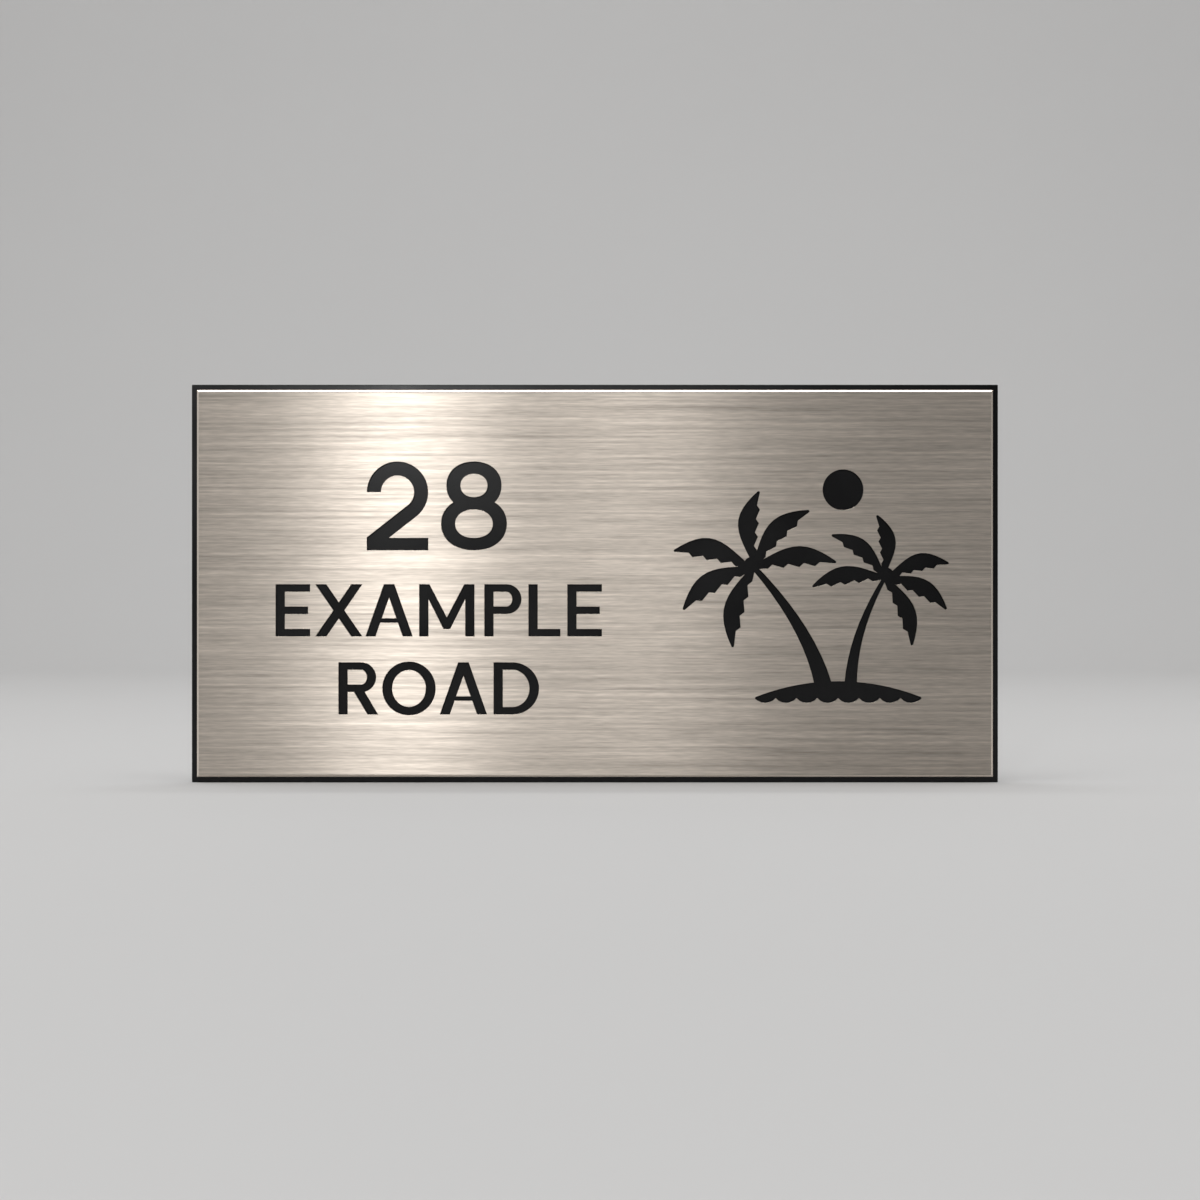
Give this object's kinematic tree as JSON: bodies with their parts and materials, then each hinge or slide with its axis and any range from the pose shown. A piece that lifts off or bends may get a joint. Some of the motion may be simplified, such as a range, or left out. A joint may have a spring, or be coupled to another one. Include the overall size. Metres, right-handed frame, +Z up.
{
  "type": "address sign",
  "caption": "Rectangular address sign: a brushed steel face, pierced with a house number and a palm scene, bonded to a glossy dark panel that is taped to the wall.",
  "frame": {"origin": "middle of the wall face of the centre strip of mounting tape", "axes": "+X along the sign, to the right as it is read; +Y into the wall; +Z up. The front faces -Y."},
  "size_m": [0.3, 0.0061, 0.148],
  "materials": {
    "face": "brushed along its length, with a polished chamfer round the front",
    "panel": "glossy black acrylic sheet",
    "tape": "closed-cell foam tape"
  },
  "bodies": {
    "root": {"face_plate": "face", "number_island_upper": "face", "number_island_lower": "face", "back_panel": "panel", "tape_left": "tape", "tape_centre": "tape", "tape_right": "tape"}
  },
  "joints": []
}
